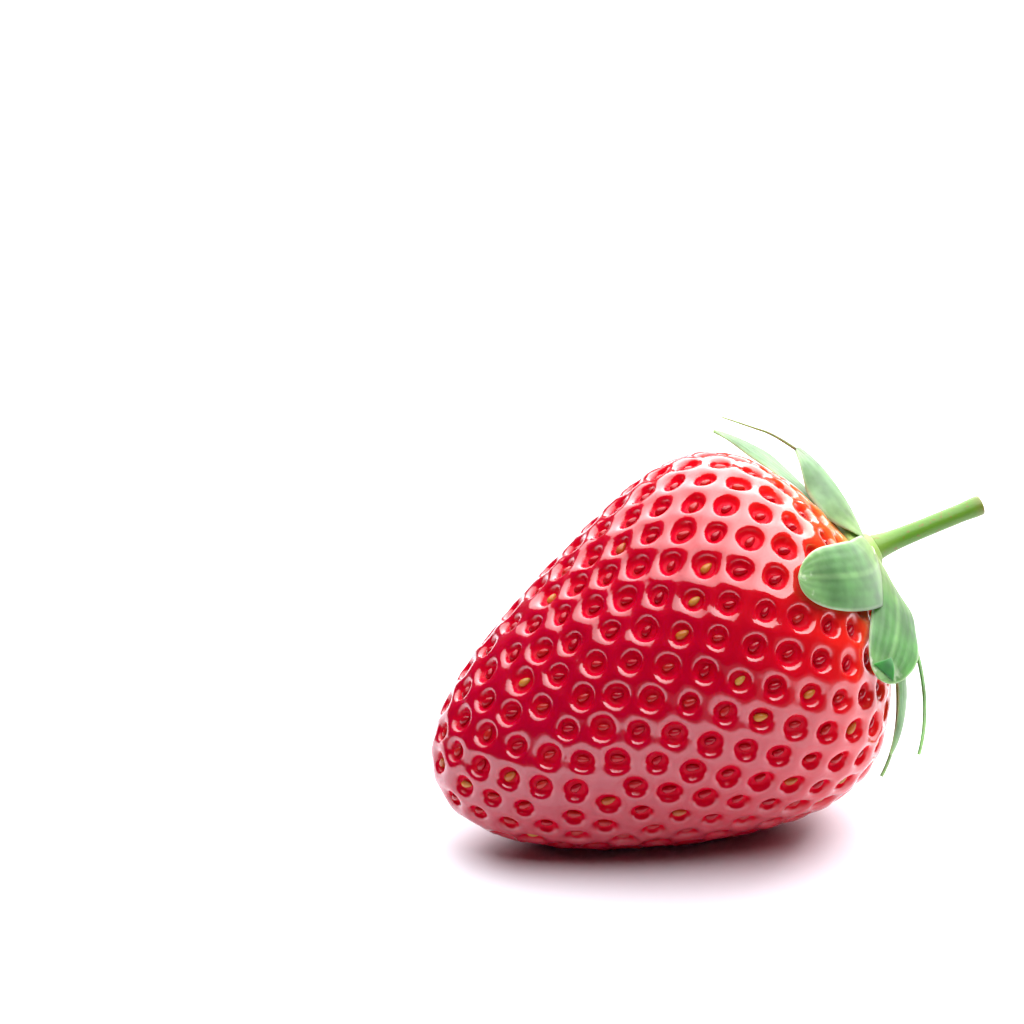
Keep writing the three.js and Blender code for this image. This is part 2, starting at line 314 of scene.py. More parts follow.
# The first turn of a spiral lies round the widest place, and towards each end every new pit takes the
# nearest gap that is a full spacing from all the others.
def growPits():
    widestArc = walk["arc"][walk["widest"]]
    turnIndex = np.arange(math.ceil(pits["perTurn"]))
    arcs = list(widestArc + pits["rowGap"] * turnIndex / pits["perTurn"])
    angles = list(2 * np.pi * turnIndex / pits["perTurn"])
    places = list(skinPoint(turnAtArc(np.array(arcs)), np.array(angles)))
    columnAngle = 2 * np.pi * np.arange(pits["growColumns"]) / pits["growColumns"]
    for side in (-1, 1):
        start = widestArc + (pits["rowGap"] if side < 0 else 0)
        end = pits["growStep"] if side < 0 else wholeArc - pits["bareNeck"]
        reached = np.zeros(pits["growColumns"], int)

        def crowded(columns, others):
            arc = np.maximum(start + side * reached[columns] * pits["growStep"], 0)
            here = skinPoint(turnAtArc(arc), columnAngle[columns])
            spacing = pits["spacing"] * (1 - pits["tipCrowding"] * np.exp(-arc / pits["crowdedReach"]))
            gap = np.linalg.norm(here[:, None] - np.array(others)[None], axis=2).min(1)
            return (arc > 0) & (gap < spacing)

        waiting = np.arange(pits["growColumns"])
        waiting = waiting[crowded(waiting, places)]
        while True:
            while len(waiting):
                reached[waiting] += 1
                waiting = waiting[crowded(waiting, places)]
            column = int(np.argmin(reached))
            arc = max(start + side * reached[column] * pits["growStep"], 0)
            if (arc - end) * side > 0:
                break
            arcs.append(arc)
            angles.append(columnAngle[column])
            places.append(skinPoint(turnAtArc(arc), columnAngle[column]))
            waiting = np.arange(pits["growColumns"])
            waiting = waiting[crowded(waiting, places[-1:])]
    return np.array(arcs), np.array(angles)


pitArc, pitAngle = growPits()
pitTurn = turnAtArc(pitArc)
pitPlace = skinPoint(pitTurn, pitAngle)
pitDraws = makeDraws(pits["seed"])
pitDraw = np.array([next(pitDraws) for _ in range(2 * len(pitArc))]).reshape(-1, 2)
crowding = 1 - pits["tipCrowding"] * np.exp(-pitArc / pits["crowdedReach"])
pitSize = (1 + pits["sizeVariation"] * pitDraw[:, 0]) * crowding
pitTilt = pits["tiltVariation"] * pitDraw[:, 1]
print(len(pitArc), "pits")


def directionOf(latitude, angle):
    return np.stack([
        -np.cos(latitude),
        -np.sin(latitude) * np.sin(angle),
        np.sin(latitude) * np.cos(angle),
    ], -1)


def turnAndAngle(directions):
    latitude = np.arccos(np.clip(-directions[:, 0], -1, 1))
    angle = np.arctan2(-directions[:, 1], directions[:, 2])
    return np.interp(latitude, walk["latitude"], walk["turn"]), angle


# Directions round each pit whose points on the skin all lie at this reach from its middle
def pitRing(reach, sides):
    latitude = np.interp(pitTurn, walk["turn"], walk["latitude"])
    centre = directionOf(latitude, pitAngle)
    along = directionOf(latitude + np.pi / 2, pitAngle)
    across = np.cross(centre, along)
    rounds = 2 * np.pi * np.arange(sides)[None] / sides + pitTilt[:, None]
    offset = along[:, None] * np.cos(rounds)[..., None] + across[:, None] * np.sin(rounds)[..., None]
    scale = (np.sin(latitude) / profileAt(pitTurn)[1] * pitSize * reach)[:, None]
    for _ in range(pits["ringPasses"]):
        ring = unit(centre[:, None] + scale[..., None] * offset)
        place = skinPoint(*turnAndAngle(ring.reshape(-1, 3))).reshape(ring.shape)
        gap = np.linalg.norm(place - pitPlace[:, None], axis=2) / pitSize[:, None]
        scale = scale * reach / gap
    return ring.reshape(-1, 3)


# Drop of the skin at a reach from a pit's middle: a rounded lip, a steep wall and a flat floor
def pitDrop(reach):
    slope = math.radians(pits["wallSlope"])
    lipRound = pits["lipRound"]
    inside = np.maximum(pits["lip"] - reach, 0)
    onLip = np.minimum(inside, lipRound * math.sin(slope))
    drop = lipRound - np.sqrt(lipRound ** 2 - onLip ** 2) + (inside - onLip) * math.tan(slope)
    softness = pits["floorRound"]
    return pits["depth"] - softness * np.logaddexp(0, (pits["depth"] - drop) / softness)


# How far the skin stands over the smooth berry: down into the pits, up between them. Also how deep in a
# pit it is, from 0 to 1.
def skinRelief(points):
    height, depth = np.zeros(len(points)), np.zeros(len(points))
    waves = points[:, [1, 2, 0]] * pits["warpWaves"] + points[:, [2, 0, 1]] * pits["warpCross"]
    warped = points + pits["warp"] * np.sin(waves)
    for start in range(0, len(points), batch):
        part = warped[start:start + batch]
        gap = np.linalg.norm(part[:, None] - pitPlace[None], axis=2) / pitSize
        beyond = np.maximum(gap - pits["puffStart"], 0) / pits["puffReach"]
        puff = np.prod(1 - np.exp(-beyond ** 2), axis=1)
        nearest = np.argmin(gap, axis=1)
        drop = pitDrop(gap.min(1))
        depth[start:start + batch] = drop / pits["depth"]
        height[start:start + batch] = pits["puff"] * puff - pitSize[nearest] * drop
    lumps = sum(np.sin(points @ wave) for wave in pits["lumpWaves"])
    return height + pits["lump"] * lumps / len(pits["lumpWaves"]), depth


# Points between the pits, on rings round the axis
def fillerDirections():
    found = []
    gap = pits["fillerGap"]
    for step, arc in enumerate(np.arange(gap / 2, wholeArc - pits["fillerEnd"], gap * pits["fillerRow"])):
        turn = turnAtArc(arc)
        count = max(pits["fillerLeast"], round(2 * np.pi * float(profileAt(turn)[1]) / gap))
        angle = 2 * np.pi * (np.arange(count) + step / 2) / count  # each row half a step round from the last
        found.append(np.stack([np.full(count, turn), angle], -1))
    found = np.concatenate(found)
    points = skinPoint(found[:, 0], found[:, 1])
    reach = pitSize * pits["rings"][-1][0] + pits["fillerClear"]
    clear = np.concatenate([
        (np.linalg.norm(points[start:start + batch, None] - pitPlace[None], axis=2) > reach).all(1)
        for start in range(0, len(points), batch)
    ])
    clear |= found[:, 0] > turnAtArc(wholeArc - pits["wholeEnd"])  # the last rings stay whole
    found = found[clear]
    latitude = np.interp(found[:, 0], walk["turn"], walk["latitude"])
    return directionOf(latitude, found[:, 1])


def skinDirections():
    rings = [directionOf(np.interp(pitTurn, walk["turn"], walk["latitude"]), pitAngle)]
    rings += [pitRing(reach, sides) for reach, sides in pits["rings"]]
    return np.concatenate(rings + [fillerDirections()])


def addSkin(material):
    sameTurn, samePlace = 1e-6, 1e-9  # closer than this counts as one
    directions = skinDirections()
    turn, angle = turnAndAngle(directions)
    # Seen from the calyx end through the sphere onto a plane, small circles stay round
    latitude = np.arccos(np.clip(-directions[:, 0], -1, 1))
    flat = np.tan(latitude / 2)[:, None] * np.stack([np.cos(angle), np.sin(angle)], -1)
    _, _, faces, *_ = delaunay_2d_cdt([Vector(pair) for pair in flat], [], [], 0, samePlace, False)
    smooth, outward = skinPoint(turn, angle), skinNormal(turn, angle)
    height, depth = skinRelief(smooth)
    points = smooth + outward * height[:, None]
    last = np.flatnonzero(turn > turn.max() - sameTurn)
    last = last[np.argsort(angle[last])].tolist()
    pole = len(points)
    points = np.concatenate([points, skinPoint(np.array([np.pi]), np.array([0.0]))])
    faces = [list(face) for face in faces]
    faces += [[one, other, pole] for one, other in zip(last, last[1:] + last[:1])]
    faces = facingOut(points, faces, outward)
    share = np.append(np.interp(turn, walk["turn"], walk["arc"]) / wholeArc, 1)
    values = {"along": share, "sunk": np.append(depth, 0)}
    buildMesh("berrySkin", points, faces, material, values, "berry")


# Turns each triangle so that it faces the way that the skin does at its first corner
def facingOut(points, faces, outward):
    corners = np.array(faces)
    a, b, c = (points[corners[:, place]] for place in range(3))
    inward = (outward[corners[:, 0]] * np.cross(b - a, c - a)).sum(1) < 0
    corners[inward] = corners[inward][:, ::-1]
    return corners.tolist()


# Seeds

seeds = {
    "length": 1.48, "width": 0.86, "height": 0.8, "sunk": 0.66,  # mm
    "size": 0.92, "sizeVariation": 0.1, "lean": 1.5,  # the lean is a multiple of the pit's tilt
    "pointing": 0.25, "rings": 7, "sides": 12, "seed": 23,
    # Share of golden seeds, and how much it grows at the ends of the berry and underneath
    "goldShare": 0.05, "goldAtEnds": 0.3, "goldUnderneath": 0.05,
    "goldTipReach": 7, "goldNeckReach": 9, "goldNeckExcess": 2,  # mm, mm, times as much as at the tip
}


# The shape of one seed, with its long side towards the calyx, where it is narrower
def seedShape():
    rounds = 2 * np.pi * np.arange(seeds["sides"]) / seeds["sides"]
    tops = np.pi * np.arange(1, seeds["rings"]) / seeds["rings"]
    shape = [(1, 0, 0)]
    for top in tops:
        shape += [(math.cos(top), math.sin(top) * math.sin(at), math.sin(top) * math.cos(at)) for at in rounds]
    shape = np.array(shape + [(-1, 0, 0)])
    taper = 1 - seeds["pointing"] * shape[:, 0]
    shape = shape * [seeds["length"] / 2, seeds["width"] / 2, seeds["height"] / 2]
    shape[:, 1:] *= taper[:, None]
    return shape


# More of the seeds are golden near the tip and near the calyx
def goldChance(arc, angle):
    nearTip = math.exp(-arc / seeds["goldTipReach"])
    nearNeck = math.exp(-(wholeArc - arc) / seeds["goldNeckReach"])
    underneath = 0.5 - 0.5 * math.cos(angle)
    return (seeds["goldShare"] + seeds["goldAtEnds"] * (nearTip + seeds["goldNeckExcess"] * nearNeck)
            + seeds["goldUnderneath"] * underneath)


def addSeeds(material):
    draws = makeDraws(seeds["seed"])
    shape = seedShape()
    faces = grownFaces(seeds["rings"] - 1, seeds["sides"])
    normal = skinNormal(pitTurn, pitAngle)
    step = 0.01
    ahead = skinPoint(np.minimum(pitTurn + step, np.pi), pitAngle) - skinPoint(pitTurn - step, pitAngle)
    ahead = unit(ahead - normal * (ahead * normal).sum(1, keepdims=True))
    aside = np.cross(normal, ahead)
    points, allFaces, gold, tint = [], [], [], []
    for index in range(len(pitTurn)):
        lean = pitTilt[index] * seeds["lean"]
        forward = ahead[index] * math.cos(lean) + aside[index] * math.sin(lean)
        across = np.cross(normal[index], forward)
        size = (seeds["size"] + seeds["sizeVariation"] * next(draws)) * math.sqrt(crowding[index])
        middle = pitPlace[index] - normal[index] * seeds["sunk"] * pitSize[index]
        points.append(middle + size * (shape @ np.array([forward, across, normal[index]])))
        offset = index * len(shape)
        allFaces += [[corner + offset for corner in face] for face in faces]
        isGold = (next(draws) + 1) / 2 < goldChance(pitArc[index], pitAngle[index])
        gold += [1.0 if isGold else 0.0] * len(shape)
        tint += [next(draws)] * len(shape)
    values = {"gold": gold, "tint": tint}
    buildMesh("berrySeeds", np.concatenate(points), allFaces, material, values)


# Faces of a closed shape of a first point, rings of points and a last point
def grownFaces(rings, sides):
    faces = []
    for side in range(sides):
        beside = (side + 1) % sides
        faces.append([0, 1 + side, 1 + beside])
        for ring in range(rings - 1):
            here = 1 + ring * sides
            faces.append([here + side, here + sides + side, here + sides + beside, here + beside])
        last = 1 + (rings - 1) * sides
        faces.append([last + sides, last + beside, last + side])
    return faces


# Calyx

calyx = {
    "root": 1.4, "rootLift": 1.5, "leastHalf": 0.14,  # mm, where a blade starts and its least half width
    "rootWidth": 0.5, "widest": 0.45, "tipRoundness": 0.6,  # shares of a blade's width and length, a power
    "thickness": 0.34, "edgeThickness": 0.12, "midrib": 0.05, "midribWidth": 0.3, "ripple": 0.16,  # mm
    "rippleTurns": 2.3, "ripplePhase": 1.9,
    "rows": 44, "columns": 22, "rowCrowding": 1.5, "columnCrowding": 0.9,  # powers: closer at the tip, edges
    "flapStart": 0.965, "flapRows": 12, "flapShade": 0.8,
    "flapHalf": 1.3, "flapLeast": 0.08, "flapLift": 0.2,  # mm
    "threadStart": 0.75, "threadTaper": 0.6, "threadSteps": 40, "threadSides": 8,
    "threadRadius": 0.2, "noMidrib": 9.0,  # mm, and a distance from the midrib for what has none
    # The collar's profile, as mm along the axis and mm from it: its foot and crown are measured from the seat,
    # its skirt from where the skin is this far from the axis
    "collarSides": 64, "collarRadius": 4,
    "collarFoot": ((-0.6, 2.2),),
    "collarSkirt": ((-0.3, 3.88), (0.3, 4.12), (0.6, 4.0)),
    "collarCrown": ((0.55, 3.1), (1.0, 2.7), (1.45, 1.95), (1.9, 1.65), (2.05, 1.35)),
}

# Angle round the axis, length and width of each blade; its height over the skin at half length and at the
# tip; radius of its crosswise curl; twist and sideways lean at the tip; how blunt and how round the tip is;
# how pale and how worn the blade is. Lengths are in mm and angles in degrees. A folded tip reaches back to
# this share of the length; a dry thread runs on from the tip through these offsets.
blades = [
    {"angle": 73.2, "length": 20, "width": 7.2, "lift": (1.5, 1.4), "curl": 12, "twist": 0, "lean": -17.5,
     "blunt": 9, "roundness": 0.5, "pale": 0.1, "worn": 1},
    {"angle": 96.8, "length": 17.4, "width": 6.4, "lift": (2.1, 1.6), "curl": 30, "twist": 32, "lean": 0.5,
     "blunt": 8, "roundness": 0.5, "pale": 0, "worn": 1, "folded": 0.87},
    {"angle": 129, "length": 18.8, "width": 2.8, "lift": (1.3, 1.5), "curl": 4, "twist": 20, "lean": 2,
     "blunt": 3, "pale": 0.3},
    {"angle": 158, "length": 16.8, "width": 0.8, "lift": (3.5, 4.4), "curl": 12, "twist": 0, "lean": 0,
     "blunt": 2.5, "pale": 0.1},
    {"angle": 152, "length": 19.6, "width": 1.2, "lift": (1.1, 1.5), "curl": 4, "twist": 0, "lean": 0,
     "blunt": 3, "pale": 0.6},
    {"angle": 188, "length": 18, "width": 7.5, "lift": (1.6, 1.6), "curl": 11, "twist": 0, "lean": 0,
     "blunt": 3, "pale": 0.3},
    {"angle": 222, "length": 16, "width": 2.6, "lift": (1.5, 2.4), "curl": 4, "twist": 0, "lean": -3,
     "blunt": 3, "pale": 0.2},
    {"angle": 250, "length": 18.5, "width": 7.5, "lift": (1.6, 1.7), "curl": 10, "twist": 0, "lean": 3,
     "blunt": 3, "pale": 0.2},
    {"angle": 283, "length": 15, "width": 2.4, "lift": (1.7, 2.6), "curl": 4, "twist": 0, "lean": 0,
     "blunt": 3, "pale": 0.4},
    {"angle": 314, "length": 17.6, "width": 5.2, "lift": (1.5, 3.4), "curl": 10, "twist": -38, "lean": 3,
     "blunt": 2.5, "pale": 0.35},
    {"angle": 339, "length": 10.6, "width": 10.4, "lift": (2.9, 3.3), "curl": 5.2, "twist": -25, "lean": 0,
     "blunt": 3, "pale": 0.4, "thread": ((-1.1, 2.6, 1.4), (-2.2, 5.0, 2.0), (-3.9, 8.7, 2.8))},
]


def bladeMiddle(blade, share):
    turn = turnAtArc(wholeArc - calyx["root"] - share * blade["length"])
    angle = np.radians(blade["angle"] + blade["lean"] * share ** 2)
    half, tip = blade["lift"]
    height = (calyx["rootLift"] * (1 - share) * (1 - 2 * share) + half * 4 * share * (1 - share)
              + tip * share * (2 * share - 1))
    return skinPoint(turn, angle) + skinNormal(turn, angle) * height[:, None]


def bladeHalf(blade, share):
    opening = np.sin(np.minimum(1, share / calyx["widest"]) * np.pi / 2)
    closing = np.clip(1 - share ** blade["blunt"], 0, 1) ** blade.get("roundness", calyx["tipRoundness"])
    half = blade["width"] / 2 * (calyx["rootWidth"] + (1 - calyx["rootWidth"]) * opening) * closing
    return np.maximum(half, calyx["leastHalf"])[:, None]


# Middle layer of a blade at shares of its length, and of its half width from -1 to 1
def bladeSurface(blade, share, side, phase):
    middle = bladeMiddle(blade, share)
    step = 0.01
    forward = unit(bladeMiddle(blade, share + step) - bladeMiddle(blade, share - step))
    angle = math.radians(blade["angle"])
    radial = np.array([0, -math.cos(angle), -math.sin(angle)])
    across = unit(radial - forward * (forward @ radial)[:, None])
    twist = (math.radians(blade["twist"]) * np.sin(share * np.pi / 2))[:, None]
    across = across * np.cos(twist) + np.cross(forward, across) * np.sin(twist)
    out = np.cross(forward, across)
    half = bladeHalf(blade, share)
    bend = side * half / blade["curl"]
    normal = out[:, None] * np.cos(bend)[..., None] + across[:, None] * np.sin(bend)[..., None]
    wave = 2 * np.pi * calyx["rippleTurns"] * share[:, None] + phase + side
    ripple = calyx["ripple"] * np.abs(side) ** 3 * np.sin(wave) * np.minimum(1, half / 2)
    surface = middle[:, None] + normal * (blade["curl"] + ripple[..., None]) - out[:, None] * blade["curl"]
    return surface, normal, half


def acrossSteps():
    side = 2 * np.arange(calyx["columns"] + 1) / calyx["columns"] - 1
    return (np.sign(side) * np.abs(side) ** calyx["columnCrowding"])[None]


# Outer and inner face of a blade as two grids of points, with what its finish needs
def bladeGrids(blade, phase):
    share = 1 - (1 - np.arange(calyx["rows"] + 1) / calyx["rows"]) ** calyx["rowCrowding"]
    side = acrossSteps()
    surface, normal, half = bladeSurface(blade, share, side, phase)
    thick = calyx["edgeThickness"] + (calyx["thickness"] - calyx["edgeThickness"]) * (1 - side ** 4)
    rib = calyx["midrib"] * np.exp(-(side * half / calyx["midribWidth"]) ** 2) * (1 - share[:, None]) ** 0.5
    outer = surface + normal * (thick / 2 + rib)[..., None]
    inner = surface - normal * (thick / 2 + rib / 2)[..., None]
    shape = surface.shape[:2]
    values = {
        "along": np.broadcast_to(share[:, None], shape).ravel(),
        "across": np.broadcast_to(side, shape).ravel(),
        "offMidrib": (side * half).ravel(),
    }
    return outer.reshape(-1, 3), inner.reshape(-1, 3), values


# The tip of a blade, folded back over its outer face so that its darker inner face shows
def flapGrids(blade, phase):
    taper = np.arange(calyx["flapRows"] + 1) / calyx["flapRows"]
    share = calyx["flapStart"] + (blade["folded"] - calyx["flapStart"]) * taper
    reach = np.maximum(calyx["flapHalf"] * (1 - taper), calyx["flapLeast"])[:, None]
    side = -acrossSteps() * reach / bladeHalf(blade, share)
    surface, normal, _ = bladeSurface(blade, share, side, phase)
    lift = calyx["flapLift"] + calyx["flapLift"] * np.sin(np.pi * taper)[:, None, None]
    outer = surface + normal * (lift + calyx["edgeThickness"])
    inner = surface + normal * lift
    return outer.reshape(-1, 3), inner.reshape(-1, 3)


# Points and faces of a dry thread that tapers along a path
def threadShape(path):
    sides, crossing = calyx["threadSides"], (0.2, 0.3, 1.0)  # any direction that the path doesn't take
    ahead = unit(np.gradient(path, axis=0))
    aside = unit(np.cross(ahead, crossing))
    upward = np.cross(ahead, aside)
    radii = calyx["threadRadius"] * (1 - calyx["threadTaper"] * np.arange(len(path)) / (len(path) - 1))
    rounds = 2 * np.pi * np.arange(sides) / sides
    rings = path[:, None] + radii[:, None, None] * (
        aside[:, None] * np.cos(rounds)[:, None] + upward[:, None] * np.sin(rounds)[:, None]
    )
    points = np.concatenate([path[:1], rings.reshape(-1, 3), path[-1:]])
    return points, grownFaces(len(path), sides)


# A path bent smoothly through its points
def smoothPath(points, steps):
    points = np.array(points, float)
    at = np.linspace(0, len(points) - 1, steps)
    place = np.minimum(at.astype(int), len(points) - 2)
    share = (at - place)[:, None]
    slope = np.gradient(points, axis=0)
    a, b, da, db = points[place], points[place + 1], slope[place], slope[place + 1]
    return ((1 + 2 * share) * (1 - share) ** 2 * a + share * (1 - share) ** 2 * da
            + share ** 2 * (3 - 2 * share) * b + share ** 2 * (share - 1) * db)


# Faces that close two matching grids of points into one thin body
def slabFaces(rows, columns):
    width = columns + 1
    count = (rows + 1) * width
    faces = []
    for row in range(rows):
        for column in range(columns):
            corner = row * width + column
            square = [corner, corner + width, corner + width + 1, corner + 1]
            faces += [square, [place + count for place in square[::-1]]]
    edge = list(range(columns)) + [row * width + columns for row in range(rows)]
    edge += list(range(rows * width + columns, rows * width, -1))
    edge += [row * width for row in range(rows, 0, -1)]
    for one, other in zip(edge, edge[1:] + edge[:1]):
        faces.append([one, other, other + count, one + count])
    return faces


def addCalyx(material):
    points, faces = [], []
    values = {key: [] for key in ("along", "across", "offMidrib", "inner", "pale", "dry", "worn")}

    def join(newPoints, newFaces, **own):
        total = sum(len(part) for part in points)
        faces.extend([corner + total for corner in face] for face in newFaces)
        points.append(newPoints)
        for key in values:
            values[key].append(np.broadcast_to(own.get(key, 0.0), len(newPoints)))

    for number, blade in enumerate(blades):
        phase = number * calyx["ripplePhase"]
        outer, inner, own = bladeGrids(blade, phase)
        own = {key: np.tile(numbers, 2) for key, numbers in own.items()}
        join(np.concatenate([outer, inner]), slabFaces(calyx["rows"], calyx["columns"]),
             inner=np.repeat([0.0, 1.0], len(outer)), pale=blade["pale"], worn=blade.get("worn", 0), **own)
        if "folded" in blade:
            join(np.concatenate(flapGrids(blade, phase)), slabFaces(calyx["flapRows"], calyx["columns"]),
                 along=calyx["flapShade"], inner=1.0, offMidrib=calyx["noMidrib"])
        if "thread" in blade:
            start, tip = bladeMiddle(blade, np.array([calyx["threadStart"], 1.0]))
            path = smoothPath([start, tip, *(tip + offset for offset in blade["thread"])], calyx["threadSteps"])
            join(*threadShape(path), dry=1.0, offMidrib=calyx["noMidrib"])
    join(*collarShape())
    values = {key: np.concatenate(parts) for key, parts in values.items()}
    buildMesh("calyxLeaves", np.concatenate(points), faces, material, values, "calyx")


# The collar that the blades grow from, closed down to the skin
def collarShape():
    seat, sides = berry["length"], calyx["collarSides"]
    shoulder = walk["turn"] > np.pi / 2
    skinX = float(np.interp(-calyx["collarRadius"], -walk["radius"][shoulder], walk["x"][shoulder]))
    profile = [
        (start + x, radius)
        for start, part in ((seat, "collarFoot"), (skinX, "collarSkirt"), (seat, "collarCrown"))
        for x, radius in calyx[part]
    ]
    rounds = 2 * np.pi * np.arange(sides) / sides
    points = [(profile[0][0], 0, berry["seatRise"])]
    for x, radius in profile:
        points += [(x, -radius * math.sin(at), radius * math.cos(at) + berry["seatRise"]) for at in rounds]
    points.append((profile[-1][0], 0, berry["seatRise"]))
    return np.array(points, float), [face[::-1] for face in grownFaces(len(profile), sides)]


def addStem(material):
    back = -stem["sunk"] / stem["length"]
    shares = np.concatenate([np.linspace(back, stem["cutStart"], stem["rings"]), stem["cutShares"]])
    radii = stemRadiusAt(np.maximum(shares, 0))
    radii[-len(stem["cutRounding"]):] *= stem["cutRounding"]
    first = stemRings(shares[:1], np.zeros(1), 1)
    last = stemRings(np.array([stem["cutMiddle"]]), np.zeros(1), 1)
    points = np.concatenate([first, stemRings(shares, radii, stem["sides"]), last])
    faces = [face[::-1] for face in grownFaces(len(shares), stem["sides"])]
    along = np.concatenate([[back], np.repeat(shares, stem["sides"]), [1.0]])
    buildMesh("stalk", points, faces, material, {"along": along}, "stem")


# Materials

# Ripe strawberry skin: thin, wet-looking and clear over red flesh, so it takes sharp pale reflections and
# lets light glow a little way in. It pales to orange under the calyx. In the pits it is painted a brighter
# red, a painted glow that stands in for light shining through the flesh there, and it is less wet, so the
# reflections stay on the skin between them.
def skinMaterial():
    material, tree = newMaterial("ripeStrawberrySkin")
    place = addNode(tree, "ShaderNodeTexCoord").outputs["Object"]
    along = addNode(tree, "ShaderNodeAttribute", {"attribute_name": "along"}).outputs["Fac"]
    sunk = addNode(tree, "ShaderNodeAttribute", {"attribute_name": "sunk"}).outputs["Fac"]
    ripe = fillRamp(addNode(tree, "ShaderNodeValToRGB", inputs={"Fac": along}), [
        (0.0, "#9E0026"), (0.3, "#A80026"), (0.52, "#B40024"), (0.64, "#CA0A1E"), (0.73, "#DC261A"),
        (0.8, "#E6521E"), (0.88, "#EE823C"), (0.97, "#F4A868"),
    ])
    blotches = addNode(tree, "ShaderNodeTexNoise", inputs={
        "Vector": place, "Scale": perMetre(6), "Detail": 3.0, "Roughness": 0.6,
    }).outputs["Fac"]
    patchy = addNode(tree, "ShaderNodeMapRange", inputs={
        "Value": blotches, "From Min": 0.35, "From Max": 0.7, "To Min": 0.0, "To Max": 0.35,
    }).outputs["Result"]
    tinted = addNode(tree, "ShaderNodeMix", {"data_type": "RGBA"}, {
        "Factor": patchy, "A": ripe, "B": linear("#9C0016"),
    }).outputs["Result"]
    # Painted glow: the deeper in a pit, the more the colour turns to a brighter red that stands in for light
    # shining through the flesh
    paintedPitGlow = addNode(tree, "ShaderNodeMath", {"operation": "MULTIPLY"}, {0: sunk, 1: 0.62}).outputs["Value"]
    colour = addNode(tree, "ShaderNodeMix", {"data_type": "RGBA"}, {
        "Factor": paintedPitGlow, "A": tinted, "B": linear("#EC062C"),
    }).outputs["Result"]
    wetness = addNode(tree, "ShaderNodeMapRange", {"interpolation_type": "SMOOTHSTEP"}, {
        "Value": sunk, "From Min": 0.2, "From Max": 0.7, "To Min": 1.0, "To Max": 0.04,
    }).outputs["Result"]
    swells = addNode(tree, "ShaderNodeTexNoise", inputs={
        "Vector": place, "Scale": perMetre(1.4), "Detail": 2.0,
    }).outputs["Fac"]
    cells = addNode(tree, "ShaderNodeTexNoise", inputs={
        "Vector": place, "Scale": perMetre(0.35), "Detail": 2.0,
    }).outputs["Fac"]
    uneven = addNode(tree, "ShaderNodeBump", inputs={
        "Height": swells, "Strength": 0.5, "Distance": 0.00012,
    })
    grain = addNode(tree, "ShaderNodeBump", inputs={
        "Height": cells, "Strength": 0.14, "Distance": 0.00008, "Normal": uneven.outputs["Normal"],
    })
    shader = addNode(tree, "ShaderNodeBsdfPrincipled", inputs={
        "Base Color": colour, "Roughness": 0.35, "IOR": 1.4, "Specular IOR Level": 0.05,
        "Normal": grain.outputs["Normal"],
        "Subsurface Weight": 0.6, "Subsurface Radius": (1.0, 0.12, 0.12), "Subsurface Scale": 0.0025,
        "Coat Weight": wetness, "Coat Roughness": 0.09, "Coat IOR": 1.75,
    })
    addNode(tree, "ShaderNodeOutputMaterial", inputs={"Surface": shader.outputs["BSDF"]})
    return material


# Achene: a dry hard seed with a thin shine, dark red where it is ripe and golden where it is not
def seedMaterial():
    material, tree = newMaterial("strawberryAchene")
    gold = addNode(tree, "ShaderNodeAttribute", {"attribute_name": "gold"}).outputs["Fac"]
    tint = addNode(tree, "ShaderNodeAttribute", {"attribute_name": "tint"}).outputs["Fac"]
    spread = addNode(tree, "ShaderNodeMapRange", inputs={
        "Value": tint, "From Min": -1.0, "From Max": 1.0, "To Min": 0.0, "To Max": 1.0,
    }).outputs["Result"]
    ripe = fillRamp(addNode(tree, "ShaderNodeValToRGB", inputs={"Fac": spread}), [
        (0.0, "#9A041A"), (0.6, "#A8081C"), (1.0, "#A8241C"),
    ])
    unripe = fillRamp(addNode(tree, "ShaderNodeValToRGB", inputs={"Fac": spread}), [
        (0.0, "#B4863C"), (0.5, "#B4702A"), (1.0, "#A45226"),
    ])
    colour = addNode(tree, "ShaderNodeMix", {"data_type": "RGBA"}, {
        "Factor": gold, "A": ripe, "B": unripe,
    }).outputs["Result"]
    shader = addNode(tree, "ShaderNodeBsdfPrincipled", inputs={
        "Base Color": colour, "Roughness": 0.14, "IOR": 1.42,
        "Subsurface Weight": 0.4, "Subsurface Radius": (1.0, 0.3, 0.15), "Subsurface Scale": 0.0008,
    })
    addNode(tree, "ShaderNodeOutputMaterial", inputs={"Surface": shader.outputs["BSDF"]})
    return material


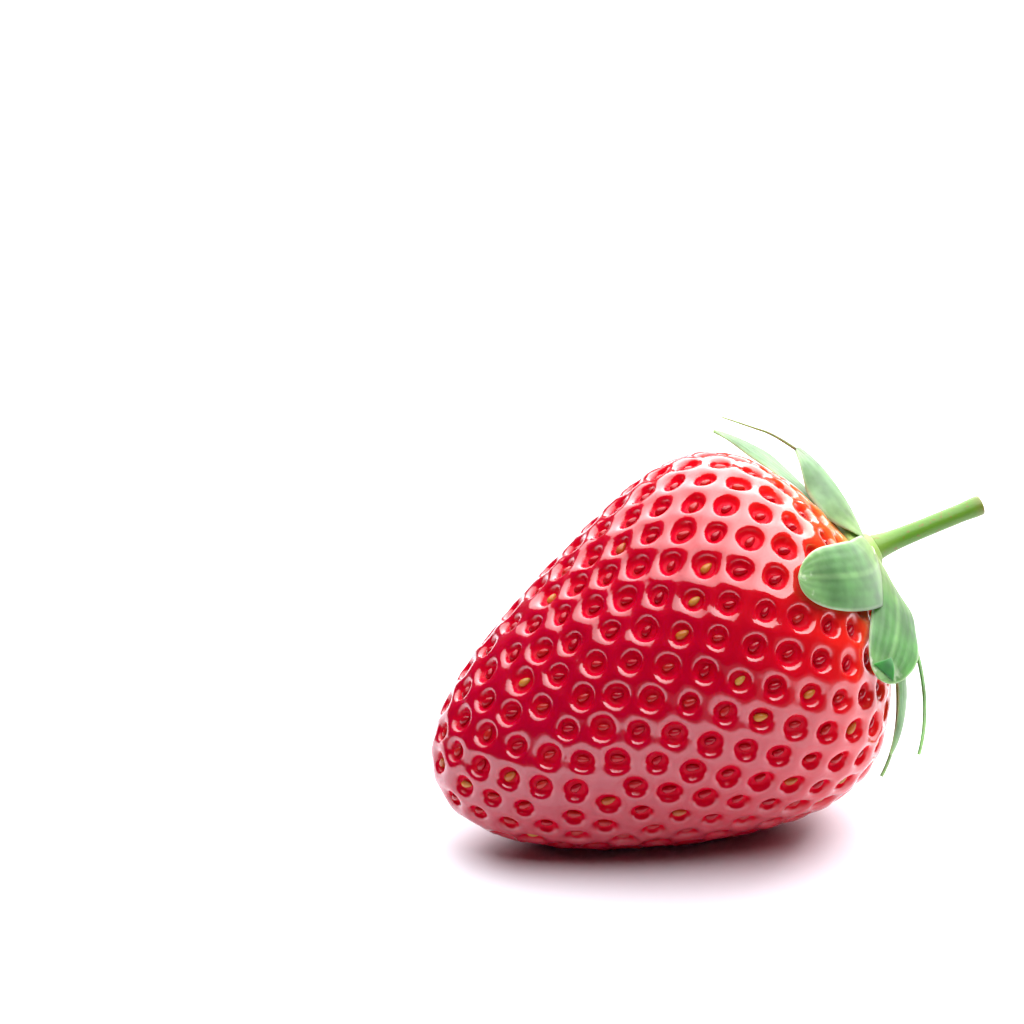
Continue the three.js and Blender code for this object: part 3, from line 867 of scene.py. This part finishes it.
# Sepal: a thin matt leaf with a grey bloom outside, yellow-green at its base, pale at its edge and darker
# inside, with veins that run its length
def sepalMaterial():
    material, tree = newMaterial("strawberrySepal")
    place = addNode(tree, "ShaderNodeTexCoord").outputs["Object"]
    along, across, inner, pale, offMidrib, dry, worn = (
        addNode(tree, "ShaderNodeAttribute", {"attribute_name": name}).outputs["Fac"]
        for name in ("along", "across", "inner", "pale", "offMidrib", "dry", "worn")
    )
    outside = fillRamp(addNode(tree, "ShaderNodeValToRGB", inputs={"Fac": along}), [
        (0.0, "#8AA842"), (0.22, "#6E943C"), (0.5, "#467836"), (0.85, "#4A7E3E"), (1.0, "#7A9E66"),
    ])
    inside = fillRamp(addNode(tree, "ShaderNodeValToRGB", inputs={"Fac": along}), [
        (0.0, "#6E9A3C"), (0.3, "#357C38"), (1.0, "#246C2E"),
    ])
    paled = addNode(tree, "ShaderNodeMix", {"data_type": "RGBA"}, {
        "Factor": pale, "A": outside, "B": linear("#9CB894"),
    }).outputs["Result"]
    faced = addNode(tree, "ShaderNodeMix", {"data_type": "RGBA"}, {
        "Factor": inner, "A": paled, "B": inside,
    }).outputs["Result"]
    edgeDistance = addNode(tree, "ShaderNodeMath", {"operation": "ABSOLUTE"}, {0: across}).outputs["Value"]
    margin = addNode(tree, "ShaderNodeMapRange", {"interpolation_type": "SMOOTHSTEP"}, {
        "Value": edgeDistance, "From Min": 0.88, "From Max": 1.0, "To Min": 0.0, "To Max": 0.7,
    }).outputs["Result"]
    edged = addNode(tree, "ShaderNodeMix", {"data_type": "RGBA"}, {
        "Factor": margin, "A": faced, "B": linear("#A6C49C"),
    }).outputs["Result"]
    blotches = addNode(tree, "ShaderNodeTexNoise", inputs={
        "Vector": place, "Scale": perMetre(2.5), "Detail": 3.0,
    }).outputs["Fac"]
    # Veins about 1 mm apart across a blade 7 mm wide, twice as coarse as the real ones so that they show
    stripes = addNode(tree, "ShaderNodeMath", {"operation": "MULTIPLY"}, {
        0: across, 1: math.pi * 7 / 1,
    }).outputs["Value"]
    wander = addNode(tree, "ShaderNodeMath", {"operation": "MULTIPLY_ADD"}, {
        0: blotches, 1: 2.0, 2: stripes,
    }).outputs["Value"]
    vein = addNode(tree, "ShaderNodeMath", {"operation": "SINE"}, {0: wander}).outputs["Value"]
    veinHeight = addNode(tree, "ShaderNodeMapRange", inputs={
        "Value": vein, "From Min": -1.0, "From Max": 1.0, "To Min": 0.0, "To Max": 1.0,
    }).outputs["Result"]
    midrib = addNode(tree, "ShaderNodeMath", {"operation": "ABSOLUTE"}, {0: offMidrib}).outputs["Value"]
    ribbed = addNode(tree, "ShaderNodeMapRange", {"interpolation_type": "SMOOTHSTEP"}, {
        "Value": midrib, "From Min": 0.1, "From Max": 0.45, "To Min": 0.22, "To Max": 0.0,
    }).outputs["Result"]
    veined = addNode(tree, "ShaderNodeMix", {"data_type": "RGBA"}, {
        "Factor": ribbed, "A": edged, "B": linear("#94B67A"),
    }).outputs["Result"]
    mottle = addNode(tree, "ShaderNodeMapRange", inputs={
        "Value": blotches, "From Min": 0.32, "From Max": 0.68, "To Min": 0.68, "To Max": 1.2,
    }).outputs["Result"]
    lightness = addNode(tree, "ShaderNodeMath", {"operation": "MULTIPLY_ADD"}, {
        0: veinHeight, 1: 0.05, 2: mottle,
    }).outputs["Value"]
    leafy = addNode(tree, "ShaderNodeHueSaturation", inputs={
        "Color": veined, "Value": lightness,
    }).outputs["Color"]
    # Whitish scuffs where a tip has worn
    nearTip = addNode(tree, "ShaderNodeMapRange", {"interpolation_type": "SMOOTHSTEP"}, {
        "Value": along, "From Min": 0.86, "From Max": 0.98, "To Min": 0.0, "To Max": 1.0,
    }).outputs["Result"]
    flakes = addNode(tree, "ShaderNodeTexNoise", inputs={
        "Vector": place, "Scale": perMetre(1.6), "Detail": 3.0,
    }).outputs["Fac"]
    scuffs = addNode(tree, "ShaderNodeMapRange", {"interpolation_type": "SMOOTHSTEP"}, {
        "Value": flakes, "From Min": 0.52, "From Max": 0.64, "To Min": 0.0, "To Max": 0.8,
    }).outputs["Result"]
    wornThere = addNode(tree, "ShaderNodeMath", {"operation": "MULTIPLY"}, {
        0: nearTip, 1: worn,
    }).outputs["Value"]
    scuffed = addNode(tree, "ShaderNodeMath", {"operation": "MULTIPLY"}, {
        0: wornThere, 1: scuffs,
    }).outputs["Value"]
    rubbed = addNode(tree, "ShaderNodeMix", {"data_type": "RGBA"}, {
        "Factor": scuffed, "A": leafy, "B": linear("#CCD8BE"),
    }).outputs["Result"]
    colour = addNode(tree, "ShaderNodeMix", {"data_type": "RGBA"}, {
        "Factor": dry, "A": rubbed, "B": linear("#6A6640"),
    }).outputs["Result"]
    relief = addNode(tree, "ShaderNodeBump", inputs={
        "Height": veinHeight, "Strength": 0.25, "Distance": 0.0001,
    })
    shader = addNode(tree, "ShaderNodeBsdfPrincipled", inputs={
        "Base Color": colour, "Roughness": 0.5, "IOR": 1.45, "Normal": relief.outputs["Normal"],
        "Subsurface Weight": 0.7, "Subsurface Radius": (0.6, 1.0, 0.35), "Subsurface Scale": 0.0012,
        "Sheen Weight": 0.15, "Sheen Roughness": 0.5,
    })
    addNode(tree, "ShaderNodeOutputMaterial", inputs={"Surface": shader.outputs["BSDF"]})
    return material


# Fruit stalk: a juicy yellow-green stem, satin, with reddish-brown flecks and a drier cut end
def stalkMaterial():
    material, tree = newMaterial("strawberryStalk")
    place = addNode(tree, "ShaderNodeTexCoord").outputs["Object"]
    along = addNode(tree, "ShaderNodeAttribute", {"attribute_name": "along"}).outputs["Fac"]
    green = fillRamp(addNode(tree, "ShaderNodeValToRGB", inputs={"Fac": along}), [
        (0.0, "#74983A"), (0.25, "#5E8E26"), (0.9, "#5E8A26"), (0.985, "#727E34"), (1.0, "#8A7E4A"),
    ])
    specks = addNode(tree, "ShaderNodeTexNoise", inputs={
        "Vector": place, "Scale": perMetre(0.5), "Detail": 1.0,
    }).outputs["Fac"]
    flecks = addNode(tree, "ShaderNodeMapRange", inputs={
        "Value": specks, "From Min": 0.62, "From Max": 0.72, "To Min": 0.0, "To Max": 0.55,
    }).outputs["Result"]
    colour = addNode(tree, "ShaderNodeMix", {"data_type": "RGBA"}, {
        "Factor": flecks, "A": green, "B": linear("#8A5A2C"),
    }).outputs["Result"]
    relief = addNode(tree, "ShaderNodeBump", inputs={"Height": specks, "Strength": 0.3, "Distance": 0.0001})
    shader = addNode(tree, "ShaderNodeBsdfPrincipled", inputs={
        "Base Color": colour, "Roughness": 0.4, "IOR": 1.45, "Normal": relief.outputs["Normal"],
        "Subsurface Weight": 0.2, "Subsurface Radius": (0.6, 1.0, 0.2), "Subsurface Scale": 0.0006,
    })
    addNode(tree, "ShaderNodeOutputMaterial", inputs={"Surface": shader.outputs["BSDF"]})
    return material


addSkin(skinMaterial())
addSeeds(seedMaterial())
addCalyx(sepalMaterial())
addStem(stalkMaterial())

# Studio: a sheet with a painted pool of light, white round the fruit and painted grey shade further out, one
# large softbox overhead that reaches far back, and a dark room

studio = {
    "floorReach": 3.0,  # m
    "sheetColour": "#E4E2EA", "paintedShadeColour": "#4C4C50",
    "paintedPoolMiddle": (14, 140), "paintedPoolStart": 190, "paintedPoolEnd": 255,  # mm, where the painted pool of light on the sheet turns from white to painted grey shade
    "panelHeight": 0.9,  # m
    # Corners of the softbox, as shares of its height; it is dim at its left edge and bright past its middle
    "panelCorners": ((-0.84, -0.5), (0.2, -1.12), (4.0, 3.4), (-0.95, 4.4)),
    "panelDim": -1.0, "panelBright": 0.5, "panelEdgePower": 2.2, "panelPower": 6.0,
    "roomLight": "#303234", "roomPower": 0.25,
}


def buildSheet(name, corners, material):
    mesh = bpy.data.meshes.new(name)
    mesh.from_pydata(corners, [], [(0, 1, 2, 3)])
    mesh.materials.append(material)
    sheet = bpy.data.objects.new(name, mesh)
    scene.collection.objects.link(sheet)
    return sheet


# Matt paper: soft and even, with a painted pool of light that is white round the fruit and painted grey shade
# away from it
def addFloor():
    material, tree = newMaterial("mattPaperPaintedPool")
    place = addNode(tree, "ShaderNodeTexCoord").outputs["Object"]
    middle = [value / 1000 for value in studio["paintedPoolMiddle"]] + [0]
    away = addNode(tree, "ShaderNodeVectorMath", {"operation": "DISTANCE"}, {
        0: place, 1: middle,
    }).outputs["Value"]
    paintedPoolFade = addNode(tree, "ShaderNodeMapRange", {"interpolation_type": "SMOOTHSTEP"}, {
        "Value": away, "From Min": studio["paintedPoolStart"] / 1000, "From Max": studio["paintedPoolEnd"] / 1000,
    }).outputs["Result"]
    colour = addNode(tree, "ShaderNodeMix", {"data_type": "RGBA"}, {
        "Factor": paintedPoolFade, "A": linear(studio["sheetColour"]), "B": linear(studio["paintedShadeColour"]),
    }).outputs["Result"]
    shader = addNode(tree, "ShaderNodeBsdfPrincipled", inputs={
        "Base Color": colour, "Roughness": 0.9, "Specular IOR Level": 0.2,
    })
    addNode(tree, "ShaderNodeOutputMaterial", inputs={"Surface": shader.outputs["BSDF"]})
    reach = studio["floorReach"]
    corners = [(-reach, -reach, 0), (reach, -reach, 0), (reach, reach, 0), (-reach, reach, 0)]
    floor = buildSheet("studioSheetPaintedPool", corners, material)


# White diffuser cloth, lit from behind and less so at its left edge
def addSoftbox():
    material, tree = newMaterial("softboxCloth")
    height = studio["panelHeight"]
    place = addNode(tree, "ShaderNodeTexCoord").outputs["Object"]
    rightward = addNode(tree, "ShaderNodeSeparateXYZ", inputs={"Vector": place}).outputs["X"]
    power = addNode(tree, "ShaderNodeMapRange", {"interpolation_type": "SMOOTHSTEP"}, {
        "Value": rightward,
        "From Min": studio["panelDim"] * height, "From Max": studio["panelBright"] * height,
        "To Min": studio["panelEdgePower"], "To Max": studio["panelPower"],
    }).outputs["Result"]
    glow = addNode(tree, "ShaderNodeEmission", inputs={"Color": (1, 1, 1, 1), "Strength": power})
    addNode(tree, "ShaderNodeOutputMaterial", inputs={"Surface": glow.outputs["Emission"]})
    corners = [(x * height, y * height, height) for x, y in reversed(studio["panelCorners"])]
    softbox = buildSheet("softbox", corners, material)


def addRoom():
    world = bpy.data.worlds.new("studioRoom")
    world.use_nodes = True
    background = world.node_tree.nodes["Background"]
    background.inputs["Color"].default_value = linear(studio["roomLight"])
    background.inputs["Strength"].default_value = studio["roomPower"]
    scene.world = world


addFloor()
addSoftbox()
addRoom()
scene.view_settings.view_transform = "Standard"
print("studio ready")
